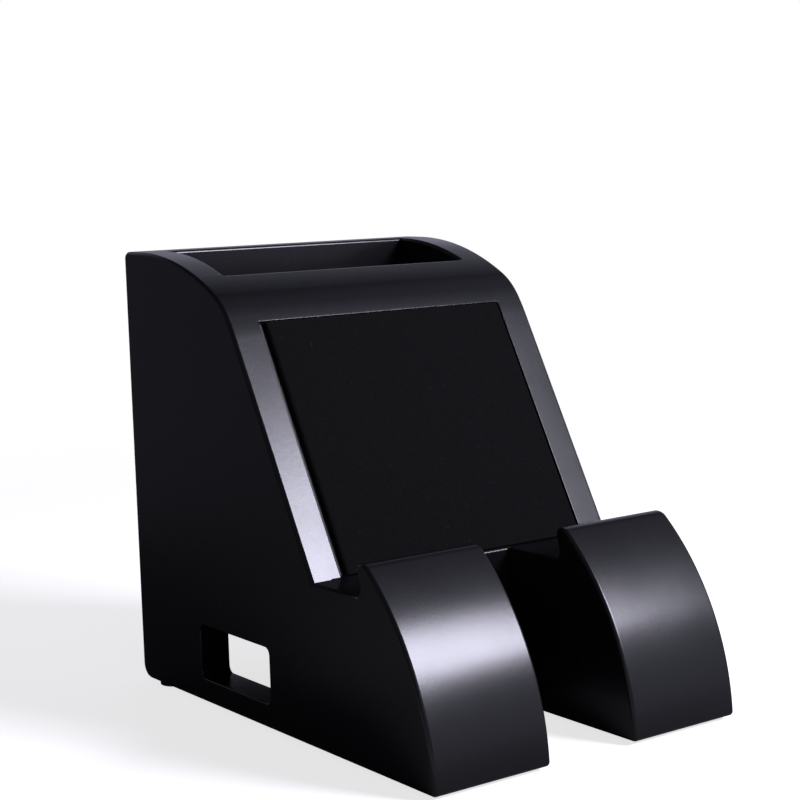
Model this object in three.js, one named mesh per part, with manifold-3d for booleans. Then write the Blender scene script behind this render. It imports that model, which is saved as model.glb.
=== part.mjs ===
// Desk stand of painted board with a pencil cup behind and two lipped feet in front.
// Lengths are millimetres. Every piece is drawn in side view, with x forward from the back face,
// y up from the underside of the boards and z towards the stand's left, and extruded along z.
import * as THREE from "three";
import { mergeVertices } from "three/addons/utils/BufferGeometryUtils.js";
import Module from "manifold-3d";

const wasm = await Module();
wasm.setup();

// Overall body, measured without the pads
const bodyWidth = 98;
const bodyDepth = 139;
const bodyHeight = 122;
const boardThickness = 9;
const arrisRadius = 1;
const arrisLimitShare = 0.95;

// Top outline: a level stretch, a wide crown, a tight shoulder, then the straight slope
const crownFlat = 9;
const crownRadius = 82;
const crownTurn = THREE.MathUtils.degToRad(28);
const shoulderRadius = 21.5;
const slopeAngle = THREE.MathUtils.degToRad(61);
const topCornerRadius = 2;
const heelRadius = 4;

// Feet: a level ledge, a lip that leans back over it, a rounded corner between them, a bulged front
const footWidth = 35.3;
const ledgeHeight = 42.4;
const ledgeDepth = 21;
const lipHeight = 8.3;
const lipThickness = 4;
const lipLean = THREE.MathUtils.degToRad(13);
const lipTipRadius = 1.6;
const lipTipLimitShare = 0.84;
const lipFlatShare = 0.6;
const lipRootRadius = 2;
const footBulgeShare = 0.234;

// Pencil cup
const cupDepth = 30;
const cupFloorHeight = 30;
const cupBoardThickness = 6;

// Slope, its felt and the recess that holds it, which starts just above the end of the shoulder's round
const slopeBoardThickness = 9;
const feltThickness = 1.5;
const feltSunk = 0.5;
const feltSideGap = 2.6;
const recessRise = 2;

// Cable hole through each side and cable outlet in the back
const holeBack = 33.9;
const holeLength = 35;
const holeBottom = 6.6;
const holeHeight = 15;
const holeCornerRadius = 2;
const outletWidth = 56;
const outletHeight = 16;
const outletCornerRadius = 3;

// Joints: shallow grooves for the boards, dowels for the blocks and the back
const grooveDepth = 3;
const grooveClearance = 0.2;
const fitGap = 0.3;
const dowelRadius = 2.5;
const dowelLength = 20;
const dowelChamfer = 0.6;
const dowelPanelDepth = 5.5;
const dowelClearance = 0.15;
const dowelEndGap = 0.5;
const backDowelHeightShares = [0.3, 0.78];
const footDowelShares = [[0.28, 0.7], [0.62, 0.3]];
const shoulderDowelShares = [0.46, 0.36];

// Rubber pads under the boards
const padRadius = 4;
const padThickness = 1;
const padChamfer = 0.3;
const backPadInset = 10;
const frontPadInset = 16;

// How finely the curves are cut, how far a cutter runs past what it cuts, and when points are one
const arcSteps = 16;
const cornerSteps = 4;
const roundSides = 20;
const arrisSteps = 3;
const overrun = 20;
const samePointShare = 1e-6;

const innerWidth = bodyWidth - 2 * boardThickness;
const panelInnerFace = innerWidth / 2;
const cupFront = boardThickness + cupDepth;
const recessDepth = feltSunk + feltThickness + fitGap;

// Points of the side outline that several pieces share
const slopeNormal = new THREE.Vector2(Math.sin(slopeAngle), Math.cos(slopeAngle));
const slopeDown = new THREE.Vector2(Math.cos(slopeAngle), -Math.sin(slopeAngle));
const crownCentre = new THREE.Vector2(crownFlat, bodyHeight - crownRadius);
const shoulderCentre = new THREE.Vector2(Math.sin(crownTurn), Math.cos(crownTurn))
  .multiplyScalar(crownRadius - shoulderRadius)
  .add(crownCentre);
const slopeTop = slopeNormal.clone().multiplyScalar(shoulderRadius).add(shoulderCentre);
const recessTop = slopeTop.clone().addScaledVector(slopeDown, -recessRise);
const slopeFoot = onSlope(0, ledgeHeight);
const lipRoot = new THREE.Vector2(slopeFoot.x + ledgeDepth, ledgeHeight);
const lipTip = new THREE.Vector2(lipRoot.x - lipHeight * Math.tan(lipLean), ledgeHeight + lipHeight);
const footFront = new THREE.Vector2(bodyDepth, 0);
const riserFront = slopeFoot.x;

// Roundings, each kept within what carries it
const lipFlat = lipFlatShare * lipThickness;
const lipCorner = Math.PI / 2 - lipLean;
const tipRadius = Math.min(lipTipRadius, lipTipLimitShare * lipFlat * Math.tan(lipCorner / 2));
const arris = Math.min(arrisRadius, arrisLimitShare * Math.min(tipRadius, topCornerRadius, heelRadius));

const shoulderSeat = inFromRecessTop(recessDepth + slopeBoardThickness + fitGap);

// The point at a given height on the line that lies a given depth under the slope's surface
function onSlope(depth, height) {
  const start = inFromRecessTop(depth);
  const run = (start.y - height) / Math.sin(slopeAngle);
  return slopeDown.clone().multiplyScalar(run).add(start);
}

// The point a given depth straight in from the top of the recess
function inFromRecessTop(depth) {
  return slopeNormal.clone().multiplyScalar(-depth).add(recessTop);
}

// Solids

function solidOf(geometry) {
  const bare = geometry.clone();
  bare.deleteAttribute("normal");
  bare.deleteAttribute("uv");
  const merged = mergeVertices(bare);
  const mesh = new wasm.Mesh({
    numProp: 3,
    vertProperties: new Float32Array(merged.attributes.position.array),
    triVerts: new Uint32Array(merged.index.array),
  });
  return new wasm.Manifold(mesh);
}

function geometryOf(solid) {
  const mesh = solid.getMesh();
  const geometry = new THREE.BufferGeometry();
  geometry.setAttribute("position", new THREE.BufferAttribute(mesh.vertProperties, mesh.numProp));
  geometry.setIndex(new THREE.BufferAttribute(mesh.triVerts, 1));
  geometry.computeVertexNormals();
  return geometry;
}

// An outline extruded along z between two places
function slab(outline, from, to) {
  const geometry = new THREE.ExtrudeGeometry(outline, { depth: to - from, bevelEnabled: false });
  geometry.translate(0, 0, from);
  return solidOf(geometry);
}

// A slab on one side of z = 0, with a rounded arris round its far face and a flat face at zero
function arrisedSlab(outline, thickness, towards) {
  const length = 2 * (thickness - arris);
  const geometry = new THREE.ExtrudeGeometry(outline, {
    depth: length,
    bevelEnabled: true,
    bevelThickness: arris,
    bevelSize: arris,
    bevelOffset: -arris,
    bevelSegments: arrisSteps,
  });
  geometry.translate(0, 0, -length / 2);
  const reach = bodyDepth + bodyHeight;
  const keep = box([-overrun, reach], [-overrun, reach], [0, towards * (thickness + overrun)]);
  return solidOf(geometry).intersect(keep);
}

// A box between pairs of limits along x, y and z, given in either order
function box(alongX, alongY, alongZ) {
  const spans = [alongX, alongY, alongZ];
  const size = spans.map(([a, b]) => Math.abs(b - a));
  const middle = spans.map(([a, b]) => (a + b) / 2);
  const geometry = new THREE.BoxGeometry(...size);
  geometry.translate(...middle);
  return solidOf(geometry);
}

// A round bore along z that starts at z = start and runs in the given direction
function bore(place, start, length, towards) {
  const geometry = new THREE.CylinderGeometry(
    dowelRadius + dowelClearance,
    dowelRadius + dowelClearance,
    length + overrun,
    roundSides,
  );
  geometry.rotateX(Math.PI / 2);
  geometry.translate(place.x, place.y, start + (towards * (length - overrun)) / 2);
  return solidOf(geometry);
}

// Outlines

function polygon(points) {
  return new THREE.Shape(points.map(([x, y]) => new THREE.Vector2(x, y)));
}

function rectangle(left, right, bottom, top) {
  return polygon([[left, bottom], [right, bottom], [right, top], [left, top]]);
}

// Carries a path along an arc, counter-clockwise unless told otherwise. An arc that starts where the
// path has come to adds no second point there.
function followArc(path, centre, radius, from, to, steps, clockwise = false) {
  const turn = 2 * Math.PI;
  const sweep = clockwise ? -((from - to + turn) % turn) : (to - from + turn) % turn;
  for (let step = 0; step <= steps; step += 1) {
    const angle = from + (sweep * step) / steps;
    const point = new THREE.Vector2(Math.cos(angle), Math.sin(angle)).multiplyScalar(radius).add(centre);
    if (point.distanceTo(path.currentPoint) > samePointShare * radius) {
      path.lineTo(point.x, point.y);
    }
  }
}

// Draws a path to a corner and rounds it towards the next point
function roundCorner(path, corner, next, radius) {
  const back = path.currentPoint.clone().sub(corner).normalize();
  const on = next.clone().sub(corner).normalize();
  const halfAngle = Math.acos(back.dot(on)) / 2;
  const start = back.clone().multiplyScalar(radius / Math.tan(halfAngle)).add(corner);
  const end = on.clone().multiplyScalar(radius / Math.tan(halfAngle)).add(corner);
  const inward = back.clone().add(on).normalize();
  const centre = inward.multiplyScalar(radius / Math.sin(halfAngle)).add(corner);
  const from = start.sub(centre).angle();
  const to = end.sub(centre).angle();
  followArc(path, centre, radius, from, to, cornerSteps, back.cross(on) > 0);
}

function roundedRectangle(left, right, bottom, top, radius) {
  const corners = [[right, bottom], [right, top], [left, top], [left, bottom]];
  const points = corners.map(([x, y]) => new THREE.Vector2(x, y));
  const path = new THREE.Shape();
  path.moveTo((left + right) / 2, bottom);
  points.forEach((corner, i) => {
    const next = i < points.length - 1 ? points[i + 1] : new THREE.Vector2((left + right) / 2, bottom);
    roundCorner(path, corner, next, radius);
  });
  path.closePath();
  return path;
}

// The whole side outline, counter-clockwise from the middle of the underside
function standOutline() {
  const lipFront = new THREE.Vector2(lipTip.x + lipThickness, lipTip.y);
  const footBulge = footBulgeShare * (footFront.x - lipFront.x);
  const chord = lipFront.clone().sub(footFront);
  const footRadius = (chord.lengthSq() / 4 + footBulge ** 2) / (2 * footBulge);
  const footCentre = new THREE.Vector2(-chord.y, chord.x)
    .normalize()
    .multiplyScalar(footRadius - footBulge)
    .add(footFront)
    .addScaledVector(chord, 1 / 2);
  const browStart = new THREE.Vector2(lipTip.x + lipFlat, lipTip.y);
  const rise = lipTip.y - footCentre.y;
  const browRadius =
    (footRadius ** 2 - browStart.distanceToSquared(footCentre)) / (2 * (footRadius - rise));
  const browCentre = new THREE.Vector2(browStart.x, browStart.y - browRadius);
  const footStart = footFront.clone().sub(footCentre).angle();
  const footEnd = browCentre.clone().sub(footCentre).angle();
  const shoulderStart = Math.PI / 2 - slopeAngle;
  const crownStart = Math.PI / 2 - crownTurn;
  const heel = new THREE.Vector2(0, 0);
  const backTop = new THREE.Vector2(0, bodyHeight);
  const undersideMiddle = new THREE.Vector2(bodyDepth / 2, 0);

  const outline = new THREE.Shape();
  outline.moveTo(undersideMiddle.x, undersideMiddle.y);
  followArc(outline, footCentre, footRadius, footStart, footEnd, arcSteps);
  followArc(outline, browCentre, browRadius, footEnd, Math.PI / 2, cornerSteps);
  roundCorner(outline, lipTip, lipRoot, tipRadius);
  roundCorner(outline, lipRoot, slopeFoot, lipRootRadius);
  outline.lineTo(slopeFoot.x, slopeFoot.y);
  followArc(outline, shoulderCentre, shoulderRadius, shoulderStart, crownStart, arcSteps);
  followArc(outline, crownCentre, crownRadius, crownStart, Math.PI / 2, arcSteps);
  roundCorner(outline, backTop, heel, topCornerRadius);
  roundCorner(outline, heel, undersideMiddle, heelRadius);
  return outline;
}

// The slope board's section, grown all round by a clearance for its grooves
function slopeBoardOutline(grow) {
  const front = recessDepth - grow;
  const inner = recessDepth + slopeBoardThickness + grow;
  const dropTo = (depth) => slopeDown.clone().multiplyScalar(fitGap - grow).add(inFromRecessTop(depth));
  const bottom = ledgeHeight - grow;
  return new THREE.Shape([dropTo(front), dropTo(inner), onSlope(inner, bottom), onSlope(front, bottom)]);
}

// Where the cup's front board ends, under the shoulder block and clear of the slope board
const dividerFront = cupFront + cupBoardThickness;
const slopeBoardBack = recessDepth + slopeBoardThickness + fitGap;
const slopeBoardBackStart = inFromRecessTop(slopeBoardBack);
const dividerClearHeight =
  slopeBoardBackStart.y - Math.max(0, dividerFront - slopeBoardBackStart.x) * Math.tan(slopeAngle);
const dividerTop = Math.min(shoulderSeat.y, dividerClearHeight);

// Boards that stand in grooves, each as its section in side view
const groovedBoards = {
  cup_floor: (grow) =>
    rectangle(
      boardThickness - grow,
      dividerFront + grow,
      cupFloorHeight - cupBoardThickness - grow,
      cupFloorHeight + grow,
    ),
  cup_divider: (grow) =>
    rectangle(cupFront - grow, dividerFront + grow, cupFloorHeight - grow, dividerTop + grow),
  slope_board: slopeBoardOutline,
  riser_board: (grow) =>
    rectangle(riserFront - boardThickness - grow, riserFront + grow, -grow, ledgeHeight + grow),
};

// Dowel places in side view, by the piece that they join to a side panel
const backDowels = backDowelHeightShares.map(
  (share) => new THREE.Vector2(boardThickness / 2, share * bodyHeight),
);
const footDowels = footDowelShares.map(
  ([along, up]) => new THREE.Vector2(riserFront + along * (bodyDepth - riserFront), up * ledgeHeight),
);
const shoulderDowels = [
  new THREE.Vector2(
    cupFront + shoulderDowelShares[0] * (slopeTop.x - cupFront),
    shoulderSeat.y + shoulderDowelShares[1] * (bodyHeight - shoulderSeat.y),
  ),
];
const allDowels = [...backDowels, ...footDowels, ...shoulderDowels];

// Bores in the two ends of a piece that lies between the side panels
function boreEnds(solid, places) {
  const depth = dowelLength - dowelPanelDepth + dowelEndGap;
  let bored = solid;
  for (const place of places) {
    bored = bored.subtract(bore(place, panelInnerFace, depth, -1));
    bored = bored.subtract(bore(place, -panelInnerFace, depth, 1));
  }
  return bored;
}

// Pieces, each in its own place along z

function sidePanel(side) {
  const hole = roundedRectangle(
    holeBack,
    holeBack + holeLength,
    holeBottom,
    holeBottom + holeHeight,
    holeCornerRadius,
  );
  let panel = arrisedSlab(standOutline(), boardThickness, side);
  panel = panel.subtract(slab(hole, -bodyWidth, bodyWidth));
  for (const section of Object.values(groovedBoards)) {
    panel = panel.subtract(slab(section(grooveClearance), -grooveDepth, grooveDepth));
  }
  for (const place of allDowels) {
    panel = panel.subtract(bore(place, 0, dowelPanelDepth + dowelEndGap, side));
  }
  return panel;
}

function footBlock(side) {
  const width = footWidth - boardThickness;
  const ahead = box([riserFront, bodyDepth + bodyHeight], [-overrun, bodyHeight], [-bodyWidth, bodyWidth]);
  let block = arrisedSlab(standOutline(), width, -side).intersect(ahead);
  for (const place of footDowels) {
    block = block.subtract(bore(place, 0, dowelLength - dowelPanelDepth + dowelEndGap, -side));
  }
  return block;
}

function groovedBoard(section) {
  const halfLength = panelInnerFace + grooveDepth - grooveClearance;
  return slab(section(0), -halfLength, halfLength);
}

function shoulderBlock() {
  const beyond = slopeNormal.clone().multiplyScalar(overrun).add(recessTop);
  const region = polygon([
    [cupFront, shoulderSeat.y],
    [shoulderSeat.x, shoulderSeat.y],
    [beyond.x, beyond.y],
    [beyond.x, bodyHeight + overrun],
    [cupFront, bodyHeight + overrun],
  ]);
  const whole = slab(standOutline(), -panelInnerFace, panelInnerFace);
  const block = whole.intersect(slab(region, -bodyWidth, bodyWidth));
  return boreEnds(block, shoulderDowels);
}

function backPanel() {
  const behind = box([-overrun, boardThickness], [-overrun, bodyHeight + overrun], [-bodyWidth, bodyWidth]);
  const outlet = roundedRectangle(
    -outletWidth / 2,
    outletWidth / 2,
    -overrun,
    outletHeight,
    outletCornerRadius,
  );
  const cutter = new THREE.ExtrudeGeometry(outlet, {
    depth: boardThickness + 2 * overrun,
    bevelEnabled: false,
  });
  cutter.rotateY(Math.PI / 2);
  cutter.translate(-overrun, 0, 0);
  const board = slab(standOutline(), -panelInnerFace, panelInnerFace).intersect(behind);
  return boreEnds(board.subtract(solidOf(cutter)), backDowels);
}

// The felt fills its recess but for a wider gap along the left panel
function slopeFelt() {
  const face = feltSunk;
  const back = feltSunk + feltThickness;
  const atTop = (depth) => slopeDown.clone().multiplyScalar(fitGap).add(inFromRecessTop(depth));
  const bottom = ledgeHeight + fitGap;
  const section = new THREE.Shape([atTop(face), atTop(back), onSlope(back, bottom), onSlope(face, bottom)]);
  return slab(section, fitGap - panelInnerFace, panelInnerFace - feltSideGap);
}

function turned(profile) {
  return new THREE.LatheGeometry(
    profile.map(([radius, height]) => new THREE.Vector2(radius, height)),
    roundSides,
  );
}

function dowelGeometry() {
  const half = dowelLength / 2;
  const geometry = turned([
    [0, -half],
    [dowelRadius - dowelChamfer, -half],
    [dowelRadius, dowelChamfer - half],
    [dowelRadius, half - dowelChamfer],
    [dowelRadius - dowelChamfer, half],
    [0, half],
  ]);
  geometry.rotateX(Math.PI / 2);
  return geometry;
}

function padGeometry() {
  return turned([
    [0, -padThickness],
    [padRadius - padChamfer, -padThickness],
    [padRadius, padChamfer - padThickness],
    [padRadius, 0],
    [0, 0],
  ]);
}

// Finishes

function finish(color, roughness) {
  return () => new THREE.MeshStandardMaterial({ color, roughness, metalness: 0 });
}

const satinPaint = finish(0x121214, 0.38);
const felt = finish(0x0e0e10, 0.95);
const rubber = finish(0x1a1a1b, 0.8);
const beech = finish(0xc9a36f, 0.7);

// Assembly

const stand = new THREE.Group();
const sideView = new THREE.Group();
sideView.rotation.set(Math.PI / 2, 0, -Math.PI / 2, "ZYX");
sideView.position.set(0, bodyDepth / 2, padThickness);
stand.add(sideView);

function place(name, geometry, material, x = 0, y = 0, z = 0) {
  const mesh = new THREE.Mesh(geometry, material());
  mesh.name = name;
  mesh.position.set(x, y, z);
  sideView.add(mesh);
}

place("shoulder_block", geometryOf(shoulderBlock()), satinPaint);
place("back_panel", geometryOf(backPanel()), satinPaint);
for (const [name, section] of Object.entries(groovedBoards)) {
  place(name, geometryOf(groovedBoard(section)), satinPaint);
}
place("slope_felt", geometryOf(slopeFelt()), felt);

const dowelRows = [
  ["dowel_back_lower", backDowels[0]],
  ["dowel_back_upper", backDowels[1]],
  ["dowel_foot_upper", footDowels[0]],
  ["dowel_foot_lower", footDowels[1]],
  ["dowel_shoulder", shoulderDowels[0]],
];

for (const [name, side] of [["left", 1], ["right", -1]]) {
  const face = side * panelInnerFace;
  const dowelMiddle = side * (panelInnerFace + dowelPanelDepth - dowelLength / 2);
  place(`side_panel_${name}`, geometryOf(sidePanel(side)), satinPaint, 0, 0, face);
  place(`foot_block_${name}`, geometryOf(footBlock(side)), satinPaint, 0, 0, face);
  place(`pad_back_${name}`, padGeometry(), rubber, backPadInset, 0, side * (bodyWidth - boardThickness) / 2);
  place(
    `pad_front_${name}`,
    padGeometry(),
    rubber,
    bodyDepth - frontPadInset,
    0,
    side * (bodyWidth - footWidth) / 2,
  );
  for (const [row, spot] of dowelRows) {
    place(`${row}_${name}`, dowelGeometry(), beech, spot.x, spot.y, dowelMiddle);
  }
}

export default stand;
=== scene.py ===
import math

import bmesh
import bpy
from mathutils import Matrix, Vector


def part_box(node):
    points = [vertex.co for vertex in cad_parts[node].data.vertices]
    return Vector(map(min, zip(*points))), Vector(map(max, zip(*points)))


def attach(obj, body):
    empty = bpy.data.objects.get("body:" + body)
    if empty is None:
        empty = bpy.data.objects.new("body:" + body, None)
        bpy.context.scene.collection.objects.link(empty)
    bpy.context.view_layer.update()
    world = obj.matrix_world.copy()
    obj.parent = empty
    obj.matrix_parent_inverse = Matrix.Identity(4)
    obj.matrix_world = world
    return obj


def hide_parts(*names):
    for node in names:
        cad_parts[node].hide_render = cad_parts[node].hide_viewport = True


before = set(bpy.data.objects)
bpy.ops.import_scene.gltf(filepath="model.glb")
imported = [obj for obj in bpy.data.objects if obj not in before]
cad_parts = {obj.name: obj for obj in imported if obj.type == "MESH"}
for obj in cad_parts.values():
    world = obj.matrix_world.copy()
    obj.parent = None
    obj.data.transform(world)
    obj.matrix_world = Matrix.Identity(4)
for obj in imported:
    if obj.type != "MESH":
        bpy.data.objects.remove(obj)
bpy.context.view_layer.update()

# Sizes that the frame gives, in metres. Points of the side view are written as forward from the
# back face and up from the underside of the boards.
panel_low, panel_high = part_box("side_panel_left")
riser_low, riser_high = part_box("riser_board")
divider_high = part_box("cup_divider")[1]
foot_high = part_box("foot_block_left")[1]
rail_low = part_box("shoulder_block")[0]
felt_low, felt_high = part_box("slope_felt")

back_face = panel_high.y
underside = panel_low.z
body_depth = panel_high.y - panel_low.y
body_height = panel_high.z - panel_low.z
outer_face = -panel_low.x
board_thickness = panel_high.x - panel_low.x
inner_face = outer_face - board_thickness
foot_gap_face = -foot_high.x
ledge_height = riser_high.z - underside
riser_front = back_face - riser_low.y
riser_back = back_face - riser_high.y
cup_front = back_face - divider_high.y
rail_seat_height = rail_low.z - underside
lip_top = foot_high.z - underside

# The side outline's rounds and angles, as the frame has them
crown_flat = board_thickness
crown_radius = 0.082
crown_turn = math.radians(28)
full_shoulder_radius = 0.0215
slope_angle = math.radians(61)
top_corner_radius = 0.002
heel_radius = 0.004
ledge_depth = 0.021
lip_thickness = 0.004
lip_lean = math.radians(13)
lip_tip_radius = 0.0016
lip_flat_share = 0.6
lip_root_radius = 0.002
foot_bulge_share = 0.234
recess_rise = 0.002
felt_thickness = 0.0015
felt_sunk = 0.0005
fit_gap = 0.0003

# Cable hole and outlet
hole_back = 0.0339
hole_length = 0.035
hole_bottom = 0.0066
hole_height = 0.015
hole_corner_radius = 0.002
outlet_width = 0.056
outlet_height = 0.016
outlet_corner_radius = 0.003

# The slower round that eases the shoulder into the slope beside the recess, and the rail's lower
# edge, which turns down faster and hangs a little over the felt's top
ease_radius = 0.06
ease_turn = math.radians(5.6)
rail_lip_radius = 0.01
rail_overhang = 0.0008

# Rounded edges
arris_radius = 0.001
toe_radius = 0.0012
recess_edge_radius = 0.00025
cup_edge_radius = 0.0009
rail_edge_radius = 0.0003
riser_edge_radius = 0.0008
hole_edge_radius = 0.0004
felt_edge_radius = 0.00012
felt_left_radius = 0.001

# The felt's soft left edge spreads a little, and its other edges stand just clear
felt_spread = 0.0002
felt_gap = 0.00005
felt_left = felt_low.x - felt_spread
felt_right = inner_face - felt_gap

# Rubber pads, as shares of each pad's own radius and thickness
pad_dish_share = 0.62
pad_dish_depth_share = 0.3
pad_dish_rim_share = 0.35
pad_rim_share = 0.35

# Clearances of the hidden joints
groove_clearance = 0.0002
bore_clearance = 0.00015

# How finely the rounds are cut
foot_steps = 40
brow_steps = 12
corner_steps = 8
ease_steps = 10
shoulder_steps = 24
crown_steps = 32
arris_steps = 5
edge_steps = 4
round_sides = 48

# How far a cutter runs past what it cuts, when two points are one, how far past its end a rounded
# edge is stopped, the steepest turn that is shaded smooth, and how far down a face looks
overrun = 0.02
same_place = 0.00001
rim_stop = 0.00002
smooth_turn = math.radians(35)
facing_down = -0.5


def along(angle):
    """The unit vector at an angle up from straight forward, in the side view."""
    return Vector((math.cos(angle), math.sin(angle)))


def flat(forward, up):
    return Vector((forward, up))


def across_from(centre, point):
    """The unit vector along an outline's round at a point of it, towards the front."""
    out = (point - centre).normalized()
    return flat(out.y, -out.x)


# The slope, the recess in it and the crown
slope_normal = along(math.pi / 2 - slope_angle)
slope_down = along(-slope_angle)
crown_centre = flat(crown_flat, body_height - crown_radius)
crown_to_shoulder = along(math.pi / 2 - crown_turn)
slope_top = (
    crown_centre
    + (crown_radius - full_shoulder_radius) * crown_to_shoulder
    + full_shoulder_radius * slope_normal
)
recess_top = slope_top - recess_rise * slope_down

# The shoulder is a little tighter than the frame's, so that the eased outline keeps crown and slope
shoulder_drop = 1 - math.cos(slope_angle - crown_turn)
ease_drop = 1 - math.cos(ease_turn)
shoulder_radius = (full_shoulder_radius * shoulder_drop - ease_radius * ease_drop) / (
    shoulder_drop - ease_drop
)
shoulder_centre = crown_centre + (crown_radius - shoulder_radius) * crown_to_shoulder
ease_centre = shoulder_centre - (ease_radius - shoulder_radius) * along(
    math.pi / 2 - slope_angle + ease_turn
)
ease_start = ease_centre + ease_radius * slope_normal

# The recess's upper end on the eased round, and the rail's lower edge over it
recess_length = (ease_start - recess_top).dot(slope_down) - rail_overhang
recess_turn = math.asin(recess_length / ease_radius)
recess_edge = ease_centre + ease_radius * along(math.pi / 2 - slope_angle + recess_turn)
shoulder_length = (ease_radius - shoulder_radius) * math.sin(ease_turn)
rail_lip_turn = math.asin((recess_length - shoulder_length) / (shoulder_radius - rail_lip_radius))
rail_lip_centre = shoulder_centre + (shoulder_radius - rail_lip_radius) * along(
    math.pi / 2 - slope_angle + rail_lip_turn
)
rail_lip_edge = rail_lip_centre + rail_lip_radius * slope_normal

# The cup's front and back edges
cup_turn = math.asin((cup_front - crown_flat) / crown_radius)
cup_edge = crown_centre + crown_radius * along(math.pi / 2 - cup_turn)
cup_back_edge = flat(crown_flat, body_height)


def on_slope(depth, height):
    """The point at a height on the line that lies a depth under the slope's surface."""
    start = recess_top - depth * slope_normal
    return start + (start.y - height) / math.sin(slope_angle) * slope_down


slope_foot = on_slope(0, ledge_height)
rail_seat_front = recess_top.x - (recess_top.y - rail_seat_height) / math.tan(math.pi / 2 - slope_angle)

# The lip: its tip, the round in the notch at its root, and the brow that runs into the foot's front
lip_root = flat(riser_front + ledge_depth, ledge_height)
lip_tip = flat(lip_root.x - (lip_top - ledge_height) * math.tan(lip_lean), lip_top)
lip_turn = math.pi / 2 + lip_lean
half_corner = (math.pi - lip_turn) / 2
tip_centre = lip_tip + lip_tip_radius * flat(1 / math.tan(half_corner), -1)
root_centre = lip_root + lip_root_radius * flat(-1 / math.tan(half_corner), 1)
root_start = lip_root + lip_root_radius / math.tan(half_corner) * along(lip_lean + math.pi / 2)

foot_front = flat(body_depth, 0)
foot_chord = flat(lip_tip.x + lip_thickness, lip_top) - foot_front
foot_bulge = -foot_bulge_share * foot_chord.x
foot_radius = (foot_chord.length_squared / 4 + foot_bulge**2) / (2 * foot_bulge)
foot_across = flat(-foot_chord.y, foot_chord.x).normalized()
foot_centre = foot_front + foot_chord / 2 + (foot_radius - foot_bulge) * foot_across
brow_start = flat(lip_tip.x + lip_flat_share * lip_thickness, lip_top)
brow_offset = brow_start - foot_centre
brow_radius = (foot_radius**2 - brow_offset.length_squared) / (2 * (foot_radius - brow_offset.y))
brow_centre = brow_start - flat(0, brow_radius)
toe_angle = math.asin((toe_radius - foot_centre.y) / (foot_radius - toe_radius))
toe_centre = foot_centre + (foot_radius - toe_radius) * along(toe_angle)
foot_end_angle = math.atan2(*(brow_centre - foot_centre).yx)


# Places and directions in the frame


def in_world(point, x=0.0):
    return Vector((x, back_face - point.x, underside + point.y))


def side_view(place):
    return flat(back_face - place.y, place.z - underside)


def direction(azimuth, elevation):
    """The unit vector at an azimuth in degrees to the right of straight ahead, and an elevation."""
    a, e = math.radians(azimuth), math.radians(elevation)
    return Vector((math.sin(a) * math.cos(e), -math.cos(a) * math.cos(e), math.sin(e)))


# Modelling by hand


def select_only(piece):
    bpy.ops.object.select_all(action="DESELECT")
    piece.select_set(True)
    bpy.context.view_layer.objects.active = piece


def apply_place():
    bpy.ops.object.transform_apply(location=True, rotation=True, scale=True)


def start_selecting(piece, kind):
    """Clears what is selected on a piece's mesh, ready for a choice of vertices, edges or faces."""
    select_only(piece)
    bpy.ops.object.mode_set(mode="EDIT")
    bpy.ops.mesh.select_mode(type=kind)
    bpy.ops.mesh.select_all(action="DESELECT")
    bpy.ops.object.mode_set(mode="OBJECT")


def select_edges(piece, wanted):
    """Selects the edges whose two ends pass the test, and goes into edit mode."""
    start_selecting(piece, "EDGE")
    vertices = piece.data.vertices
    for edge in piece.data.edges:
        a, b = (vertices[i].co for i in edge.vertices)
        edge.select = wanted(a, b)
    bpy.ops.object.mode_set(mode="EDIT")


def select_faces(piece, wanted):
    start_selecting(piece, "FACE")
    for face in piece.data.polygons:
        face.select = wanted(face)
    bpy.ops.object.mode_set(mode="EDIT")


def start_strip(name, x_low, x_high, start, end):
    """A level strip between two points of the side view, with its front edge left selected."""
    bpy.ops.object.select_all(action="DESELECT")
    middle = in_world((start + end) / 2, (x_low + x_high) / 2)
    bpy.ops.mesh.primitive_plane_add(size=1, location=middle)
    piece = bpy.context.object
    piece.name = name
    piece.data.name = name
    piece.scale = (x_high - x_low, (end - start).length, 1)
    apply_place()
    front = in_world(end).y
    select_edges(piece, lambda a, b: abs(a.y - front) < same_place and abs(b.y - front) < same_place)
    return piece


def draw_to(point):
    """Carries the selected edge straight on to a point of the side view."""
    mesh = bmesh.from_edit_mesh(bpy.context.object.data)
    now = next(v.co for v in mesh.verts if v.select)
    step = in_world(point) - now
    bpy.ops.mesh.extrude_region_move(TRANSFORM_OT_translate={"value": (0, step.y, step.z)})


def turn_about(centre, angle, steps):
    """Carries the selected edge round a centre of the side view, counter-clockwise."""
    bpy.ops.mesh.spin(steps=steps, angle=angle, center=in_world(centre), axis=(1, 0, 0))


def close_sides():
    """Joins the strip's end to its start and closes both of its sides."""
    bpy.ops.mesh.select_all(action="SELECT")
    bpy.ops.mesh.remove_doubles(threshold=same_place)
    bpy.ops.mesh.select_all(action="SELECT")
    bpy.ops.mesh.fill_holes(sides=0)
    bpy.ops.mesh.select_all(action="SELECT")
    bpy.ops.mesh.normals_make_consistent(inside=False)
    bpy.ops.object.mode_set(mode="OBJECT")


def round_edges(piece, radius, steps, wanted):
    select_edges(piece, wanted)
    bpy.ops.mesh.bevel(offset=radius, segments=steps, profile=0.5, affect="EDGES", clamp_overlap=False)
    bpy.ops.object.mode_set(mode="OBJECT")


def part_face(piece, *corners):
    """Parts a face with a new edge between two of its corners."""
    start_selecting(piece, "VERT")
    for vertex in piece.data.vertices:
        vertex.select = any((vertex.co - corner).length < same_place / 2 for corner in corners)
    bpy.ops.object.mode_set(mode="EDIT")
    bpy.ops.mesh.vert_connect()
    bpy.ops.object.mode_set(mode="OBJECT")


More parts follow.
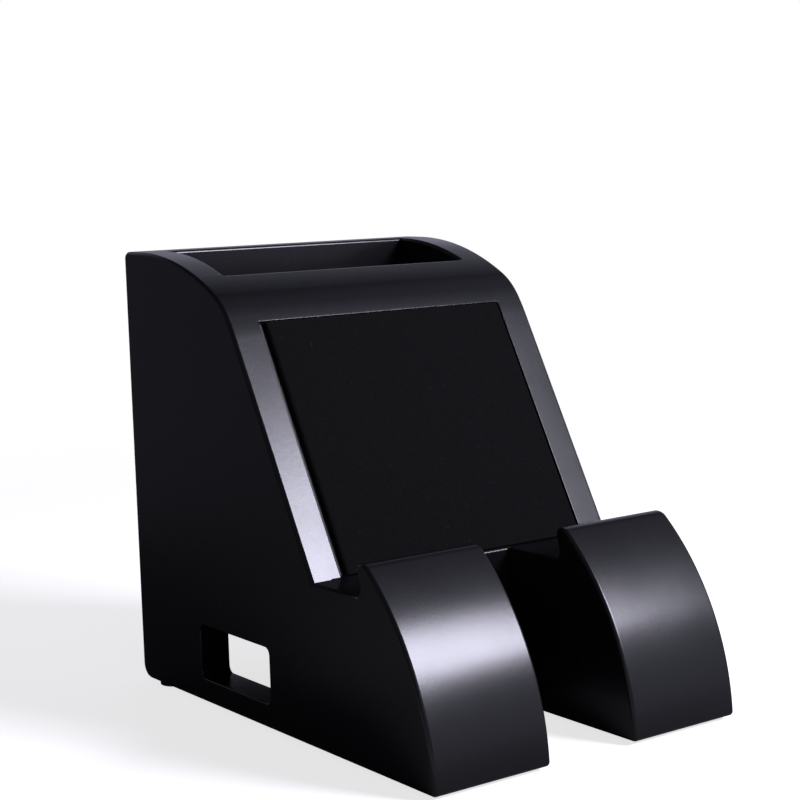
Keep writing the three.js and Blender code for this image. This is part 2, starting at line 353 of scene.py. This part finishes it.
def apply_modifier(piece, kind, **settings):
    select_only(piece)
    bpy.ops.object.modifier_add(type=kind)
    modifier = piece.modifiers[-1]
    for name, value in settings.items():
        setattr(modifier, name, value)
    bpy.ops.object.modifier_apply(modifier=modifier.name)


def cut_with(piece, cutter):
    apply_modifier(piece, "BOOLEAN", operation="DIFFERENCE", solver="EXACT", object=cutter)
    bpy.data.objects.remove(cutter)


def block(size, middle):
    bpy.ops.object.select_all(action="DESELECT")
    bpy.ops.mesh.primitive_cube_add(size=1, location=middle)
    piece = bpy.context.object
    piece.scale = size
    apply_place()
    return piece


def seat_for(piece, node, clearance):
    """Cuts the groove or bore that a piece of the frame sits in."""
    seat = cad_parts[node].copy()
    seat.data = seat.data.copy()
    bpy.context.scene.collection.objects.link(seat)
    seat.parent = None
    select_only(seat)
    bpy.ops.object.mode_set(mode="EDIT")
    bpy.ops.mesh.select_all(action="SELECT")
    bpy.ops.mesh.remove_doubles(threshold=same_place)
    bpy.ops.transform.shrink_fatten(value=clearance, use_even_offset=True)
    bpy.ops.object.mode_set(mode="OBJECT")
    cut_with(piece, seat)


def dowels_of(word):
    """The dowels whose names end in a side's word."""
    return sorted(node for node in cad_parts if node.startswith("dowel") and node.endswith(word))


def smooth(piece):
    """Smooth shading that keeps the broad faces flat."""
    select_only(piece)
    bpy.ops.object.shade_smooth_by_angle(angle=smooth_turn)
    apply_modifier(piece, "WEIGHTED_NORMAL", keep_sharp=True)


def at_face(x):
    """A test for edges that lie in a face across the stand."""
    return lambda a, b: abs(a.x - x) < same_place and abs(b.x - x) < same_place


def crosswise(point):
    """A test for the edge that runs across the stand through a point of the side view."""
    place = in_world(point)

    def test(a, b):
        return all((end - place).yz.length < same_place for end in (a, b)) and abs(a.x - b.x) > same_place

    return test


# The outline's stretches, counter-clockwise from the underside


def up_the_foot():
    turn_about(toe_centre, math.pi / 2 + toe_angle, corner_steps)
    turn_about(foot_centre, foot_end_angle - toe_angle, foot_steps)
    turn_about(brow_centre, math.pi / 2 - foot_end_angle, brow_steps)
    draw_to(flat(tip_centre.x, lip_top))
    turn_about(tip_centre, lip_turn, corner_steps)
    draw_to(root_start)
    turn_about(root_centre, -lip_turn, corner_steps)
    draw_to(slope_foot)


def over_the_shoulder(turned):
    """Round the shoulder to the crown, from where the outline has turned this far off the slope."""
    turn_about(shoulder_centre, slope_angle - crown_turn - turned, shoulder_steps)


def over_the_panel():
    """From the slope over shoulder and crown to the level top, with a stop past each rounded rim's end."""
    ease_stop = rim_stop / ease_radius
    crown_stop = rim_stop / crown_radius
    draw_to(ease_start)
    turn_about(ease_centre, recess_turn, ease_steps)
    turn_about(ease_centre, ease_stop, steps=1)
    turn_about(ease_centre, ease_turn - recess_turn - ease_stop, steps=1)
    over_the_shoulder(ease_turn)
    turn_about(crown_centre, crown_turn - cup_turn - crown_stop, corner_steps)
    turn_about(crown_centre, crown_stop, steps=1)
    turn_about(crown_centre, cup_turn, crown_steps)
    draw_to(cup_back_edge - flat(rim_stop, 0))


def down_the_back():
    draw_to(flat(top_corner_radius, body_height))
    turn_about(flat(top_corner_radius, body_height - top_corner_radius), math.pi / 2, corner_steps)
    draw_to(flat(0, heel_radius))
    turn_about(flat(heel_radius, heel_radius), math.pi / 2, corner_steps)


# Pieces of the painted body


def cable_hole_cutter(x):
    size = (2 * board_thickness, hole_length, hole_height)
    middle = in_world(flat(hole_back + hole_length / 2, hole_bottom + hole_height / 2), x)
    cutter = block(size, middle)
    round_edges(cutter, hole_corner_radius, corner_steps, lambda a, b: abs(a.x - b.x) > same_place)
    return cutter


def near_hole(point):
    forward_ok = hole_back - same_place < point.x < hole_back + hole_length + same_place
    return forward_ok and hole_bottom - same_place < point.y < hole_bottom + hole_height + same_place


def round_inner_rims(piece, side):
    """Rounds a side board's inner rim beside the recess and the cup, ending each round cleanly."""
    inside = side * inner_face
    inner_rim = at_face(inside)

    def beside_recess(a, b):
        spots = [side_view(end) for end in (a, b)]
        return inner_rim(a, b) and all(
            abs((spot - slope_foot).dot(slope_normal)) < ease_radius * ease_drop
            and slope_foot.y - same_place < spot.y < recess_edge.y + same_place
            for spot in spots
        )

    def beside_cup(a, b):
        spots = [side_view(end) for end in (a, b)]
        return inner_rim(a, b) and all(
            crown_flat - same_place < spot.x < cup_front + same_place and spot.y > rail_seat_height
            for spot in spots
        )

    round_edges(piece, recess_edge_radius, edge_steps, beside_recess)
    round_edges(piece, cup_edge_radius, edge_steps, beside_cup)
    past_recess = recess_edge - rim_stop * across_from(ease_centre, recess_edge)
    past_cup = cup_edge + rim_stop * across_from(crown_centre, cup_edge)
    past_cup_back = cup_back_edge - flat(rim_stop, 0)
    for radius, end, past in (
        (recess_edge_radius, recess_edge, past_recess),
        (cup_edge_radius, cup_edge, past_cup),
        (cup_edge_radius, cup_back_edge, past_cup_back),
    ):
        part_face(piece, in_world(past, inside), in_world(end, inside + side * radius))


def cut_cable_hole(piece, side):
    """Cuts the hole through a side board and rounds its rim in both faces."""
    outside, inside = side * outer_face, side * inner_face
    cut_with(piece, cable_hole_cutter((outside + inside) / 2))
    for face in (outside, inside):
        in_face = at_face(face)

        def hole_rim(a, b):
            return in_face(a, b) and near_hole(side_view(a)) and near_hole(side_view(b))

        round_edges(piece, hole_edge_radius, edge_steps, hole_rim)


def side_board(side):
    """One side of the stand, from its foot to its back. side is -1 for the left one."""
    word = "left" if side < 0 else "right"
    outside, inside = side * outer_face, side * inner_face
    piece = start_strip(
        f"side_board_{word}",
        min(outside, inside),
        max(outside, inside),
        flat(heel_radius, 0),
        flat(toe_centre.x, 0),
    )
    up_the_foot()
    over_the_panel()
    down_the_back()
    close_sides()
    round_edges(piece, arris_radius, arris_steps, at_face(outside))
    round_inner_rims(piece, side)
    cut_cable_hole(piece, side)
    for node in ("cup_floor", "cup_divider", "slope_board", "riser_board"):
        seat_for(piece, node, groove_clearance)
    for node in dowels_of(word):
        seat_for(piece, node, bore_clearance)
    smooth(piece)
    return piece


def foot(side):
    """The block that makes one foot as wide as it is, beside its side board's foot."""
    word = "left" if side < 0 else "right"
    board_side, gap_side = side * inner_face, side * foot_gap_face
    piece = start_strip(
        f"foot_{word}",
        min(board_side, gap_side),
        max(board_side, gap_side),
        flat(riser_front, 0),
        flat(toe_centre.x, 0),
    )
    up_the_foot()
    draw_to(flat(riser_front, 0))
    close_sides()
    rim = at_face(gap_side)

    def not_at_riser(a, b):
        return rim(a, b) and any(side_view(end).x > riser_front + same_place for end in (a, b))

    round_edges(piece, arris_radius, arris_steps, not_at_riser)
    for node in dowels_of(word):
        if "foot" in node:
            seat_for(piece, node, bore_clearance)
    smooth(piece)
    return piece


def shoulder_rail():
    """The rail between the cup and the recess that carries the shoulder's round across."""
    seat_start = flat(cup_front, rail_seat_height)
    seat_end = flat(rail_seat_front, rail_seat_height)
    inner_corner = recess_top - (felt_sunk + felt_thickness + felt_gap) * slope_normal
    piece = start_strip("shoulder_rail", -inner_face, inner_face, seat_start, seat_end)
    draw_to(inner_corner)
    draw_to(inner_corner + rail_overhang * slope_down)
    draw_to(rail_lip_edge)
    turn_about(rail_lip_centre, rail_lip_turn, ease_steps)
    over_the_shoulder(rail_lip_turn)
    turn_about(crown_centre, crown_turn - cup_turn, corner_steps)
    draw_to(seat_start)
    close_sides()
    round_edges(piece, rail_edge_radius, edge_steps, crosswise(rail_lip_edge))
    round_edges(piece, cup_edge_radius, edge_steps, crosswise(cup_edge))
    for word in ("left", "right"):
        seat_for(piece, f"dowel_shoulder_{word}", bore_clearance)
    smooth(piece)
    return piece


def outlet_cutter():
    """A block as wide as the cable outlet, with rounded upper corners, open at the underside."""
    size = (outlet_width, board_thickness + 2 * overrun, outlet_height + overrun)
    cutter = block(size, in_world(flat(board_thickness / 2, (outlet_height - overrun) / 2)))
    top = underside + outlet_height

    def upper_corner(a, b):
        return abs(a.y - b.y) > same_place and abs(a.z - top) < same_place

    round_edges(cutter, outlet_corner_radius, corner_steps, upper_corner)
    return cutter


def outlet_rim(a, b):
    """A test for the edges round the outlet in either face of the back board, clear of the heel."""
    within = all(abs(end.x) < outlet_width / 2 + same_place for end in (a, b))
    low = all(heel_radius < end.z - underside < outlet_height + same_place for end in (a, b))
    level = abs(a.y - b.y) < same_place
    to_face = min(abs(a.y - back_face), abs(a.y - back_face + board_thickness))
    return within and low and level and to_face < same_place


def back_board():
    """The board behind the cup, with the cable outlet in its bottom edge."""
    piece = start_strip(
        "back_board", -inner_face, inner_face, flat(heel_radius, 0), flat(board_thickness, 0)
    )
    draw_to(cup_back_edge)
    down_the_back()
    close_sides()
    round_edges(piece, cup_edge_radius, edge_steps, crosswise(cup_back_edge))
    cut_with(piece, outlet_cutter())
    round_edges(piece, hole_edge_radius, edge_steps, outlet_rim)
    for node in sorted(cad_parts):
        if node.startswith("dowel_back"):
            seat_for(piece, node, bore_clearance)
    smooth(piece)
    return piece


def round_over_cutter(edge, radius, reach):
    """A cutter that rounds a front top edge for a reach to either side of the middle."""
    cutter = block((2 * reach, 2 * radius, 2 * radius), in_world(edge))
    bpy.ops.object.select_all(action="DESELECT")
    bpy.ops.mesh.primitive_cylinder_add(
        vertices=round_sides,
        radius=radius,
        depth=2 * (reach + radius),
        location=in_world(edge - flat(radius, radius)),
        rotation=(0, math.pi / 2, 0),
    )
    core = bpy.context.object
    apply_place()
    cut_with(cutter, core)
    return cutter


def riser():
    """The upright board between the feet, with its top edge rounded where it shows."""
    top_edge = flat(riser_front, ledge_height)
    piece = start_strip(
        "riser", riser_low.x, riser_high.x, flat(riser_back, 0), flat(riser_front, 0)
    )
    draw_to(top_edge)
    draw_to(flat(riser_back, ledge_height))
    draw_to(flat(riser_back, 0))
    close_sides()
    cut_with(piece, round_over_cutter(top_edge, riser_edge_radius, foot_gap_face))
    smooth(piece)
    return piece


# The felt on the slope


def slope_felt_sheet():
    """The sheet of felt that lines the recess, softest along its loose left edge."""
    bottom = ledge_height + fit_gap
    face = recess_top - felt_sunk * slope_normal + (rail_overhang + felt_gap) * slope_down
    back = face - felt_thickness * slope_normal
    back_bottom = on_slope(felt_sunk + felt_thickness, bottom)
    face_bottom = on_slope(felt_sunk, bottom)
    piece = start_strip("felt_lining", felt_left, felt_right, back_bottom, face_bottom)
    draw_to(face)
    draw_to(back)
    draw_to(back_bottom)
    close_sides()

    def in_face(a, b):
        depths = [(recess_top - side_view(end)).dot(slope_normal) for end in (a, b)]
        return all(abs(depth - felt_sunk) < same_place for depth in depths)

    left = at_face(felt_left)
    round_edges(piece, felt_left_radius, corner_steps, lambda a, b: in_face(a, b) and left(a, b))
    round_edges(piece, felt_edge_radius, edge_steps, lambda a, b: in_face(a, b) and max(a.x, b.x) > 0)
    smooth(piece)
    return piece


# Rubber pads


def rubber_pad(node):
    """A moulded pad over its node, turned with a rounded lower rim and a shallow dish."""
    low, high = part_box(node)
    middle = (low + high) / 2
    radius = (high.x - low.x) / 2
    thickness = high.z - low.z
    bpy.ops.object.select_all(action="DESELECT")
    bpy.ops.mesh.primitive_cylinder_add(
        vertices=round_sides, radius=radius, depth=thickness, location=middle, end_fill_type="NGON"
    )
    pad = bpy.context.object
    pad.name = f"rubber_{node}"
    pad.data.name = pad.name
    apply_place()
    select_faces(pad, lambda face: face.normal.z < facing_down)
    bpy.ops.mesh.inset(thickness=radius * (1 - pad_dish_share))
    bpy.ops.transform.translate(value=(0, 0, thickness * pad_dish_depth_share))
    bpy.ops.mesh.inset(thickness=radius * pad_dish_share * pad_dish_rim_share)
    bpy.ops.object.mode_set(mode="OBJECT")

    def lower_rim(a, b):
        return all(
            abs(end.z - low.z) < same_place and abs((end - middle).xy.length - radius) < same_place
            for end in (a, b)
        )

    round_edges(pad, thickness * pad_rim_share, edge_steps, lower_rim)
    smooth(pad)
    return pad


# Node helpers for the materials


def feed(tree, socket, value):
    """Gives a socket a value of its own, or another node's output."""
    if isinstance(value, bpy.types.NodeSocket):
        tree.links.new(value, socket)
    else:
        socket.default_value = value


def add_node(tree, kind, inputs=None, **settings):
    node = tree.nodes.new(kind)
    for name, value in settings.items():
        setattr(node, name, value)
    for name, value in (inputs or {}).items():
        feed(tree, node.inputs[name], value)
    return node


def new_group(name, inputs, outputs):
    """An empty shader node group, with its input and output nodes."""
    group = bpy.data.node_groups.new(name, "ShaderNodeTree")
    for socket, value in inputs:
        made = group.interface.new_socket(name=socket, in_out="INPUT", socket_type="NodeSocketFloat")
        made.default_value = value
    for socket in outputs:
        group.interface.new_socket(name=socket, in_out="OUTPUT", socket_type="NodeSocketFloat")
    return group, group.nodes.new("NodeGroupInput"), group.nodes.new("NodeGroupOutput")


def object_place(tree):
    return add_node(tree, "ShaderNodeTexCoord").outputs["Object"]


def math_node(tree, operation, *values):
    """A maths node on values that are each a number or another node's output."""
    node = add_node(tree, "ShaderNodeMath", operation=operation)
    for socket, value in zip(node.inputs, values):
        feed(tree, socket, value)
    return node.outputs["Value"]


def noise_at(tree, place, scale, detail=2.0, roughness=0.5, distortion=0.0):
    settings = {
        "Vector": place,
        "Scale": scale,
        "Detail": detail,
        "Roughness": roughness,
        "Distortion": distortion,
    }
    return add_node(tree, "ShaderNodeTexNoise", settings).outputs["Fac"]


def stretched(tree, place, scale, turn=(0, 0, 0)):
    """The same place in a pattern's own lay, turned and then stretched along each axis."""
    return add_node(
        tree, "ShaderNodeMapping", {"Vector": place, "Scale": scale, "Rotation": turn}
    ).outputs["Vector"]


def between(tree, value, low, high, to_low=0.0, to_high=1.0):
    """Maps a value smoothly from one range to another."""
    settings = {"Value": value, "From Min": low, "From Max": high, "To Min": to_low, "To Max": to_high}
    node = add_node(tree, "ShaderNodeMapRange", settings, interpolation_type="SMOOTHSTEP")
    return node.outputs["Result"]


def mix_colours(tree, share, first, second):
    node = add_node(tree, "ShaderNodeMix", {"Factor": share}, data_type="RGBA")
    sockets = [s for s in node.inputs if s.type == "RGBA"]
    for socket, value in zip(sockets, (first, second)):
        feed(tree, socket, (*value, 1) if isinstance(value, tuple) else value)
    return next(s for s in node.outputs if s.type == "RGBA")


# Effects that more than one finish uses


def sprayed_coat_group():
    """The skin of a sprayed coat: its fine peel, its slow waviness and its dry overspray specks."""
    group, given, out = new_group(
        "sprayed_coat",
        [("Peel Scale", 620.0), ("Wave Share", 0.9), ("Speck Amount", 0.3)],
        ["Height", "Specks", "Cloud"],
    )
    place = object_place(group)
    peel = noise_at(group, place, given.outputs["Peel Scale"], detail=3.0, roughness=0.55)
    wave = noise_at(group, place, scale=70.0, detail=1.0)
    wave = math_node(group, "MULTIPLY", wave, given.outputs["Wave Share"])
    grit = noise_at(group, place, scale=3600.0, roughness=0.7)
    specks = between(group, grit, low=0.6, high=0.74)
    patches = between(group, noise_at(group, place, scale=120.0), low=0.4, high=0.7)
    speckled = math_node(group, "MULTIPLY", specks, patches)
    speckled = math_node(group, "MULTIPLY", speckled, given.outputs["Speck Amount"])
    feed(group, out.inputs["Height"], math_node(group, "ADD", peel, wave))
    feed(group, out.inputs["Specks"], speckled)
    feed(group, out.inputs["Cloud"], noise_at(group, place, scale=28.0, detail=4.0, roughness=0.6))
    return group


def dust_group():
    """Fine dust that lies on what faces up, in loose drifts and single grains."""
    group, given, out = new_group("settled_dust", [("Amount", 0.2)], ["Dust"])
    place = object_place(group)
    normal = add_node(group, "ShaderNodeNewGeometry").outputs["Normal"]
    upward = add_node(group, "ShaderNodeSeparateXYZ", {"Vector": normal}).outputs["Z"]
    level = between(group, upward, low=0.2, high=0.95)
    drifts = noise_at(group, place, scale=45.0, detail=4.0, roughness=0.65)
    drifts = between(group, drifts, low=0.35, high=0.75, to_low=0.15)
    grains = noise_at(group, place, scale=2600.0, detail=1.0)
    grains = between(group, grains, low=0.62, high=0.78, to_low=0.25)
    dust = math_node(group, "MULTIPLY", math_node(group, "MULTIPLY", drifts, grains), level)
    feed(group, out.inputs["Dust"], math_node(group, "MULTIPLY", dust, given.outputs["Amount"]))
    return group


sprayed_coat = sprayed_coat_group()
settled_dust = dust_group()


# Finishes


def new_material(name):
    material = bpy.data.materials.new(name)
    material.use_nodes = True
    shader = material.node_tree.nodes["Principled BSDF"]
    return material, material.node_tree, shader


def bump(tree, shader, height, strength, distance):
    settings = {"Height": height, "Strength": strength, "Distance": distance}
    feed(tree, shader.inputs["Normal"], add_node(tree, "ShaderNodeBump", settings).outputs["Normal"])


def sprayed_paint(name, colour, tint, gloss, peel_depth, speck_amount, dust_amount):
    """Black paint sprayed on fibreboard. gloss is its lowest and highest roughness."""
    dust_colour = (0.22, 0.21, 0.2)
    material, tree, shader = new_material(name)
    coat = add_node(tree, "ShaderNodeGroup", {"Speck Amount": speck_amount}, node_tree=sprayed_coat)
    dust = add_node(tree, "ShaderNodeGroup", {"Amount": dust_amount}, node_tree=settled_dust)
    cloud = coat.outputs["Cloud"]
    shade = mix_colours(tree, cloud, colour, tint)
    shade = mix_colours(tree, dust.outputs["Dust"], shade, dust_colour)
    roughness = between(tree, cloud, 0.25, 0.75, *gloss)
    roughness = math_node(tree, "ADD", roughness, coat.outputs["Specks"])
    roughness = math_node(tree, "ADD", roughness, dust.outputs["Dust"])
    feed(tree, shader.inputs["Base Color"], shade)
    feed(tree, shader.inputs["Roughness"], roughness)
    shader.inputs["IOR"].default_value = 1.5
    bump(tree, shader, coat.outputs["Height"], strength=1.0, distance=peel_depth)
    return material


def felt_material():
    """Pressed wool felt: short fibres that lie every way, a soft nap and a little lint."""
    between_fibres, fibre_colour = (0.002, 0.002, 0.0022), (0.0052, 0.0052, 0.0057)
    nap_colour, lint_colour = (0.0032, 0.0032, 0.0036), (0.06, 0.06, 0.06)
    fibre_stretch = (1200.0, 9000.0, 1200.0)
    material, tree, shader = new_material("black_felt")
    place = object_place(tree)
    fibres = None
    for turn in (0.3, 1.35, 2.4):
        lay = stretched(tree, place, fibre_stretch, turn=(slope_angle, turn, 0))
        strand = noise_at(tree, lay, scale=1.0, roughness=0.6, distortion=0.6)
        strand = between(tree, strand, low=0.5, high=0.7)
        fibres = strand if fibres is None else math_node(tree, "MAXIMUM", fibres, strand)
    nap = noise_at(tree, place, scale=380.0, detail=4.0, roughness=0.65)
    nap_share = between(tree, nap, low=0.3, high=0.7, to_high=0.35)
    lint = between(tree, noise_at(tree, place, scale=900.0, detail=1.0), low=0.74, high=0.8)
    shade = mix_colours(tree, fibres, between_fibres, fibre_colour)
    shade = mix_colours(tree, nap_share, shade, nap_colour)
    shade = mix_colours(tree, math_node(tree, "MULTIPLY", lint, 0.25), shade, lint_colour)
    feed(tree, shader.inputs["Base Color"], shade)
    shader.inputs["Roughness"].default_value = 0.95
    shader.inputs["Specular IOR Level"].default_value = 0.15
    shader.inputs["Sheen Weight"].default_value = 0.02
    shader.inputs["Sheen Roughness"].default_value = 0.5
    height = math_node(tree, "ADD", math_node(tree, "MULTIPLY", fibres, 0.6), nap)
    bump(tree, shader, height, strength=1.0, distance=0.00012)
    return material


def rubber_material():
    """Moulded rubber with a fine stipple."""
    rubber_colour, dust_colour = (0.018, 0.018, 0.019), (0.16, 0.155, 0.15)
    material, tree, shader = new_material("moulded_rubber")
    dust = add_node(tree, "ShaderNodeGroup", {"Amount": 0.2}, node_tree=settled_dust)
    stipple = noise_at(tree, object_place(tree), scale=4200.0, roughness=0.6)
    roughness = between(tree, stipple, low=0.3, high=0.7, to_low=0.62, to_high=0.82)
    shade = mix_colours(tree, dust.outputs["Dust"], rubber_colour, dust_colour)
    feed(tree, shader.inputs["Base Color"], shade)
    feed(tree, shader.inputs["Roughness"], roughness)
    bump(tree, shader, stipple, strength=0.6, distance=0.00006)
    return material


def beech_material():
    """Bare beech: straight grain along the dowel, short dark flecks and a ridged, pressed skin."""
    pale_wood, dark_wood, fleck_colour = (0.62, 0.41, 0.22), (0.42, 0.25, 0.12), (0.25, 0.13, 0.06)
    material, tree, shader = new_material("bare_beech")
    place = object_place(tree)
    grain_lay = stretched(tree, place, (40.0, 900.0, 900.0))
    grain = noise_at(tree, grain_lay, scale=1.0, detail=4.0, roughness=0.6, distortion=0.3)
    fleck_lay = stretched(tree, place, (350.0, 3500.0, 3500.0))
    flecks = between(tree, noise_at(tree, fleck_lay, scale=1.0, detail=1.0), low=0.62, high=0.7)
    roughness = between(tree, grain, low=0.3, high=0.7, to_low=0.55, to_high=0.75)
    shade = mix_colours(tree, grain, pale_wood, dark_wood)
    shade = mix_colours(tree, math_node(tree, "MULTIPLY", flecks, 0.6), shade, fleck_colour)
    feed(tree, shader.inputs["Base Color"], shade)
    feed(tree, shader.inputs["Roughness"], roughness)
    bump(tree, shader, grain, strength=0.5, distance=0.0001)
    return material


satin_black = sprayed_paint(
    "satin_black_paint",
    colour=(0.0045, 0.0045, 0.0055),
    tint=(0.006, 0.006, 0.0075),
    gloss=(0.22, 0.26),
    peel_depth=0.000009,
    speck_amount=0.12,
    dust_amount=0.012,
)
thin_black = sprayed_paint(
    "thin_black_paint",
    colour=(0.011, 0.011, 0.012),
    tint=(0.017, 0.016, 0.017),
    gloss=(0.42, 0.55),
    peel_depth=0.00003,
    speck_amount=0.3,
    dust_amount=0.03,
)
black_felt = felt_material()
moulded_rubber = rubber_material()
bare_beech = beech_material()


def finish_in(piece, material):
    piece.data.materials.clear()
    piece.data.materials.append(material)


# The stand


def take_place(piece, material, node):
    """Puts a finished piece on the stand in the place of a node of the frame."""
    finish_in(piece, material)
    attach(piece, "root")
    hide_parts(node)


for side, word in ((-1, "left"), (1, "right")):
    take_place(side_board(side), satin_black, f"side_panel_{word}")
    take_place(foot(side), satin_black, f"foot_block_{word}")
take_place(shoulder_rail(), satin_black, "shoulder_block")
take_place(back_board(), satin_black, "back_panel")
take_place(riser(), satin_black, "riser_board")

felt_lining = slope_felt_sheet()
take_place(felt_lining, black_felt, "slope_felt")

for node in sorted(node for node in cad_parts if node.startswith("pad_")):
    take_place(rubber_pad(node), moulded_rubber, node)

for node in ("cup_floor", "cup_divider", "slope_board"):
    finish_in(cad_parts[node], thin_black)
for node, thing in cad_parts.items():
    if node.startswith("dowel"):
        finish_in(thing, bare_beech)


# Floor, light and camera


def grey(level):
    return (level, level, level, 1)


def add_shaders(tree, first, second):
    node = add_node(tree, "ShaderNodeAddShader")
    for socket, shader in zip(node.inputs, (first, second)):
        feed(tree, socket, shader.outputs[0])
    return node


def mix_shaders(tree, share, first, second):
    node = add_node(tree, "ShaderNodeMixShader", {"Fac": share})
    for socket, shader in zip(node.inputs[1:], (first, second)):
        feed(tree, socket, shader.outputs[0])
    return node


def seen_by_camera(tree):
    return add_node(tree, "ShaderNodeLightPath").outputs["Is Camera Ray"]


def nearness(tree, toward, azimuth, elevation):
    """The cosine between a direction and the one at an azimuth and elevation."""
    node = add_node(tree, "ShaderNodeVectorMath", operation="DOT_PRODUCT")
    feed(tree, node.inputs[0], toward)
    feed(tree, node.inputs[1], direction(azimuth, elevation))
    return node.outputs["Value"]


def floor():
    """A pale round floor that fades out into the background.

    Only the camera sees it that pale. Everything else sees it dimmer, with a light pool on two sides.
    """
    radius, sides = 0.8, 96
    fade_start, fade_end = radius * 0.3, radius * 0.7
    pale, pale_glow, dim = 0.85, 0.74, 0.27
    pool_azimuth, pool_glow = 135, 0.65
    pool_side, pool_middle = 0.5, 0.87
    pool_start, pool_full = 0.13, 0.22

    bpy.ops.object.select_all(action="DESELECT")
    bpy.ops.mesh.primitive_circle_add(vertices=sides, radius=radius, fill_type="NGON")
    piece = bpy.context.object
    piece.name = "floor"
    material, tree, shader = new_material("pale_floor")
    tree.nodes.remove(shader)

    place = object_place(tree)
    distance = add_node(tree, "ShaderNodeVectorMath", operation="LENGTH")
    feed(tree, distance.inputs[0], place)
    distance = distance.outputs["Value"]
    outward = add_node(tree, "ShaderNodeVectorMath", operation="NORMALIZE")
    feed(tree, outward.inputs[0], place)
    outward = outward.outputs["Vector"]

    to_pool = math_node(tree, "ABSOLUTE", nearness(tree, outward, pool_azimuth, 0))
    pool = math_node(
        tree,
        "MULTIPLY",
        between(tree, to_pool, pool_side, pool_middle, to_high=pool_glow),
        between(tree, distance, pool_start, pool_full),
    )
    seen = add_shaders(
        tree,
        add_node(tree, "ShaderNodeBsdfDiffuse", {"Color": grey(pale)}),
        add_node(tree, "ShaderNodeEmission", {"Color": grey(1), "Strength": pale_glow}),
    )
    mirrored = add_shaders(
        tree,
        add_node(tree, "ShaderNodeBsdfDiffuse", {"Color": grey(dim)}),
        add_node(tree, "ShaderNodeEmission", {"Color": grey(1), "Strength": pool}),
    )
    surface = mix_shaders(tree, seen_by_camera(tree), mirrored, seen)
    clear = add_node(tree, "ShaderNodeBsdfTransparent")
    faded = mix_shaders(tree, between(tree, distance, fade_start, fade_end), surface, clear)
    feed(tree, tree.nodes["Material Output"].inputs["Surface"], faded.outputs[0])
    finish_in(piece, material)


def surroundings():
    """White where the camera sees past the floor, and a dim room with paler patches elsewhere."""
    room_radiance = 0.025
    room_tint = (0.95, 0.95, 1.2, 1)
    # Each patch: azimuth, elevation, the angles from its middle where it starts to fade and is
    # gone, all in degrees, and its radiance
    patches = (
        (40, 10, 4, 24, 0.42),
        (54, 48, 3, 16, 0.25),
        (80, 45, 5, 30, 0.155),
        (140, 28, 5, 22, 0.29),
        (144, 6, 5, 22, 0.3),
        (-144, 5, 10, 35, 0.068),
        (-90, 20, 10, 40, 0.052),
        (95, 12, 6, 28, 0.3),
        (184, 20, 6, 22, 0.3),
        (-25, 20, 8, 26, 0.35),
    )
    world = bpy.data.worlds.new("studio")
    bpy.context.scene.world = world
    world.use_nodes = True
    tree = world.node_tree
    tree.nodes.clear()
    toward = add_node(tree, "ShaderNodeTexCoord").outputs["Generated"]
    total = room_radiance
    for azimuth, elevation, inner, outer, radiance in patches:
        near, far = math.cos(math.radians(inner)), math.cos(math.radians(outer))
        patch = between(tree, nearness(tree, toward, azimuth, elevation), far, near, to_high=radiance)
        total = math_node(tree, "ADD", patch, total)
    room = add_node(tree, "ShaderNodeBackground", {"Color": room_tint, "Strength": total})
    white = add_node(tree, "ShaderNodeBackground", {"Color": grey(1)})
    sky = mix_shaders(tree, seen_by_camera(tree), room, white)
    out = add_node(tree, "ShaderNodeOutputWorld")
    feed(tree, out.inputs["Surface"], sky.outputs[0])


def key_light():
    """A rectangular soft box to the front right, turned to face the left foot."""
    toward = direction(azimuth=38, elevation=33)
    distance, width, height = 0.8, 0.28, 0.25
    radiance, tint = 27.0, (0.98, 0.97, 1.16)
    aim_share = 0.9
    light = bpy.data.lights.new("key_light", "AREA")
    light.color = tint
    light.shape = "RECTANGLE"
    light.size = width
    light.size_y = height
    light.energy = radiance * math.pi * width * height
    lamp = bpy.data.objects.new("key_light", light)
    bpy.context.scene.collection.objects.link(lamp)
    left_foot = in_world(flat(body_depth * aim_share, ledge_height), -inner_face)
    lamp.location = left_foot + distance * toward
    lamp.rotation_euler = toward.to_track_quat("Z", "Y").to_euler()


def camera():
    """The photograph's view: its place, aim, slight roll, lens and framing."""
    azimuth, elevation, roll = -36.45, 8.12, math.radians(-1.51)
    place = (-0.2942, -0.3985, 0.1461)
    right = direction(azimuth + 90, 0)
    back = direction(azimuth, elevation)
    up = back.cross(right)
    rolled_right = math.cos(roll) * right + math.sin(roll) * up
    rolled_up = back.cross(rolled_right)
    data = bpy.data.cameras.new("camera")
    data.sensor_width = 36
    data.lens = 83.74
    data.shift_x = -0.0216
    data.shift_y = 0.0327
    thing = bpy.data.objects.new("camera", data)
    bpy.context.scene.collection.objects.link(thing)
    turn = Matrix((rolled_right, rolled_up, back)).transposed().to_4x4()
    thing.matrix_world = Matrix.Translation(place) @ turn
    bpy.context.scene.camera = thing


floor()
surroundings()
key_light()
camera()
bpy.context.scene.view_settings.view_transform = "Standard"
